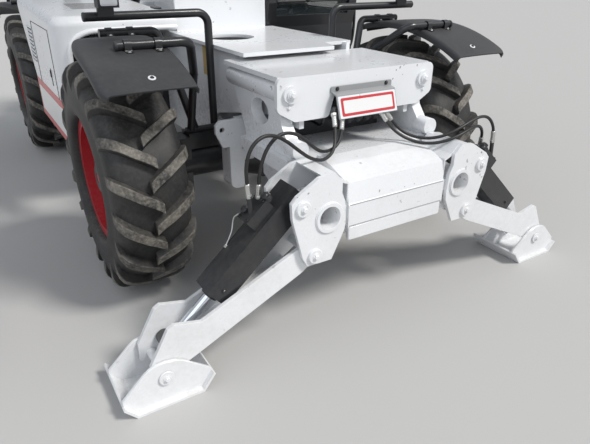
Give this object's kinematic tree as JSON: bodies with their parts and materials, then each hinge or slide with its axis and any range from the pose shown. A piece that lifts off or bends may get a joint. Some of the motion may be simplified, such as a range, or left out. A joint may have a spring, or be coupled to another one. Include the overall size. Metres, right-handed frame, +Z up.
{
  "type": "telehandler with front stabilisers",
  "caption": "Telescopic handler on lugged tyres with a raised boom, pallet forks, a side cab, an engine hood and lowered front stabiliser legs.",
  "frame": {"origin": "centre of the machine's bounding box, on the ground", "axes": "+X to the machine's left, +Y to its rear, +Z up; the boom points to -Y"},
  "size_m": [2.8, 7.1226, 4.321],
  "materials": {
    "paint_white": "gloss",
    "paint_dark": "satin",
    "rim_red": "satin",
    "tyre_rubber": "matte",
    "fender_plastic": "matte",
    "glass": "gloss",
    "chrome": "polished",
    "trim": "matte",
    "hose_rubber": "satin"
  },
  "bodies": {
    "chassis": {"chassis_frame": "paint_white", "tail_weight": "paint_white", "nose_box": "paint_white", "levelling_links": "paint_white", "stabiliser_beam": "paint_white", "valve_cover": "paint_white", "valve_block": "paint_dark", "engine_hood": "paint_white", "engine_block": "paint_dark", "exhaust": "paint_dark", "cab_frame": "paint_dark", "cab_glass": "glass", "cab_seat": "trim", "cab_console": "trim", "fenders": "fender_plastic", "guard_tubes": "paint_dark", "fuel_tank": "paint_dark", "lamps": "fender_plastic", "tow_hitch": "paint_dark", "mirror": "fender_plastic", "axle_front": "paint_dark", "axle_rear": "paint_dark", "hose_right_a": "hose_rubber", "hose_right_b": "hose_rubber", "hose_left_a": "hose_rubber", "hose_left_b": "hose_rubber"},
    "door": {"cab_door": "paint_dark", "door_glass": "glass"},
    "boom_outer": {"boom_outer": "paint_white"},
    "boom_middle": {"boom_middle": "paint_white"},
    "boom_inner": {"boom_inner": "paint_white"},
    "coupler": {"tool_coupler": "paint_dark", "pallet_forks": "paint_dark"},
    "lift_barrel": {"lift_barrel": "paint_dark"},
    "lift_rod": {"lift_rod": "chrome"},
    "tilt_barrel": {"tilt_barrel": "paint_dark"},
    "tilt_rod": {"tilt_rod": "chrome"},
    "knuckle_front_left": {"knuckle_front_left": "paint_dark"},
    "wheel_front_left": {"tyre_front_left": "tyre_rubber", "rim_front_left": "rim_red"},
    "knuckle_front_right": {"knuckle_front_right": "paint_dark"},
    "wheel_front_right": {"tyre_front_right": "tyre_rubber", "rim_front_right": "rim_red"},
    "knuckle_rear_left": {"knuckle_rear_left": "paint_dark"},
    "wheel_rear_left": {"tyre_rear_left": "tyre_rubber", "rim_rear_left": "rim_red"},
    "knuckle_rear_right": {"knuckle_rear_right": "paint_dark"},
    "wheel_rear_right": {"tyre_rear_right": "tyre_rubber", "rim_rear_right": "rim_red"},
    "leg_left": {"leg_left": "paint_white"},
    "foot_left": {"foot_left": "paint_white"},
    "ram_barrel_left": {"ram_barrel_left": "paint_dark"},
    "ram_rod_left": {"ram_rod_left": "chrome"},
    "leg_right": {"leg_right": "paint_white"},
    "foot_right": {"foot_right": "paint_white"},
    "ram_barrel_right": {"ram_barrel_right": "paint_dark"},
    "ram_rod_right": {"ram_rod_right": "chrome"}
  },
  "joints": [
    {"name": "steer_front_left", "type": "hinge", "parent": "chassis", "child": "knuckle_front_left", "pos_m": [0.84, -0.63874, 0.622], "axis": [0, 0, 1], "range_deg": [-30, 30]},
    {"name": "spin_front_left", "type": "hinge", "parent": "knuckle_front_left", "child": "wheel_front_left", "pos_m": [1, -0.63874, 0.622], "axis": [1, 0, 0], "continuous": true},
    {"name": "steer_front_right", "type": "hinge", "parent": "chassis", "child": "knuckle_front_right", "pos_m": [-0.84, -0.63874, 0.622], "axis": [0, 0, 1], "range_deg": [-30, 30]},
    {"name": "spin_front_right", "type": "hinge", "parent": "knuckle_front_right", "child": "wheel_front_right", "pos_m": [-1, -0.63874, 0.622], "axis": [1, 0, 0], "continuous": true},
    {"name": "steer_rear_left", "type": "hinge", "parent": "chassis", "child": "knuckle_rear_left", "pos_m": [0.84, 2.27626, 0.622], "axis": [0, 0, 1], "range_deg": [-30, 30]},
    {"name": "spin_rear_left", "type": "hinge", "parent": "knuckle_rear_left", "child": "wheel_rear_left", "pos_m": [1, 2.27626, 0.622], "axis": [1, 0, 0], "continuous": true},
    {"name": "steer_rear_right", "type": "hinge", "parent": "chassis", "child": "knuckle_rear_right", "pos_m": [-0.84, 2.27626, 0.622], "axis": [0, 0, 1], "range_deg": [-30, 30]},
    {"name": "spin_rear_right", "type": "hinge", "parent": "knuckle_rear_right", "child": "wheel_rear_right", "pos_m": [-1, 2.27626, 0.622], "axis": [1, 0, 0], "continuous": true},
    {"name": "door_swing", "type": "hinge", "parent": "chassis", "child": "door", "pos_m": [1.174, 1.4146, 1.5], "axis": [0, 0, 1], "range_deg": [0, 90]},
    {"name": "leg_left_swing", "type": "hinge", "parent": "chassis", "child": "leg_left", "pos_m": [0.484, -1.65874, 0.501], "axis": [0, -1, 0], "range_deg": [0, 45]},
    {"name": "foot_left_tip", "type": "hinge", "parent": "leg_left", "child": "foot_left", "pos_m": [1.208, -1.65874, 0.132], "axis": [0, -1, 0], "range_deg": [-12, 12]},
    {"name": "ram_left_swing", "type": "hinge", "parent": "chassis", "child": "ram_barrel_left", "pos_m": [0.55, -1.65874, 0.746], "axis": [0, -1, 0], "range_deg": [-1, 43.47], "deforming": ["hose_left_a", "hose_left_b"]},
    {"name": "ram_left_slide", "type": "slide", "parent": "ram_barrel_left", "child": "ram_rod_left", "axis": [0.7427, 0, -0.6696], "range_m": [-0.1955, 0.001]},
    {"name": "leg_right_swing", "type": "hinge", "parent": "chassis", "child": "leg_right", "pos_m": [-0.484, -1.65874, 0.501], "axis": [0, 1, 0], "range_deg": [0, 45]},
    {"name": "foot_right_tip", "type": "hinge", "parent": "leg_right", "child": "foot_right", "pos_m": [-1.208, -1.65874, 0.132], "axis": [0, 1, 0], "range_deg": [-12, 12]},
    {"name": "ram_right_swing", "type": "hinge", "parent": "chassis", "child": "ram_barrel_right", "pos_m": [-0.55, -1.65874, 0.746], "axis": [0, 1, 0], "range_deg": [-1, 43.47], "deforming": ["hose_right_a", "hose_right_b"]},
    {"name": "ram_right_slide", "type": "slide", "parent": "ram_barrel_right", "child": "ram_rod_right", "axis": [-0.7427, 0, -0.6696], "range_m": [-0.1955, 0.001]},
    {"name": "boom_lift", "type": "hinge", "parent": "chassis", "child": "boom_outer", "pos_m": [0, 2.96127, 1.93], "axis": [-1, 0, 0], "range_deg": [-25, 30]},
    {"name": "boom_extend", "type": "slide", "parent": "boom_outer", "child": "boom_middle", "axis": [0, -0.9063, 0.4226], "range_m": [0, 3.2]},
    {"name": "boom_extend_inner", "type": "slide", "parent": "boom_middle", "child": "boom_inner", "axis": [0, -0.9063, 0.4226], "range_m": [0, 3.21]},
    {"name": "coupler_tilt", "type": "hinge", "parent": "boom_inner", "child": "coupler", "pos_m": [0, -2.13626, 3.79946], "axis": [-1, 0, 0], "range_deg": [-45, 30]},
    {"name": "lift_swing", "type": "hinge", "parent": "chassis", "child": "lift_barrel", "pos_m": [0, 2.56127, 1.05], "axis": [-1, 0, 0], "range_deg": [-18.82, 22.38]},
    {"name": "lift_slide", "type": "slide", "parent": "lift_barrel", "child": "lift_rod", "axis": [0, -0.6341, 0.7732], "range_m": [-0.3744, 0.4489]},
    {"name": "tilt_swing", "type": "hinge", "parent": "boom_inner", "child": "tilt_barrel", "pos_m": [0, -1.64339, 4.09925], "axis": [-1, 0, 0], "range_deg": [-4.55, 3.36]},
    {"name": "tilt_slide", "type": "slide", "parent": "tilt_barrel", "child": "tilt_rod", "axis": [0, -0.9841, -0.1776], "range_m": [-0.1041, 0.1552]}
  ],
  "couplings": [
    {"joint": "steer_front_right", "follows": "steer_front_left", "ratio": 1},
    {"joint": "steer_rear_right", "follows": "steer_rear_left", "ratio": 1},
    {"joint": "ram_left_swing", "follows": "leg_left_swing", "ratio": 0.9438},
    {"joint": "ram_left_slide", "follows": "leg_left_swing", "m_per_rad": -0.24636},
    {"joint": "ram_right_swing", "follows": "leg_right_swing", "ratio": 0.9438},
    {"joint": "ram_right_slide", "follows": "leg_right_swing", "m_per_rad": -0.24636},
    {"joint": "boom_extend_inner", "follows": "boom_extend", "ratio": 1},
    {"joint": "lift_swing", "follows": "boom_lift", "ratio": 0.71276},
    {"joint": "lift_slide", "follows": "boom_lift", "m_per_rad": 0.85353},
    {"joint": "tilt_swing", "follows": "coupler_tilt", "ratio": 0.0788},
    {"joint": "tilt_slide", "follows": "coupler_tilt", "m_per_rad": -0.19509}
  ]
}
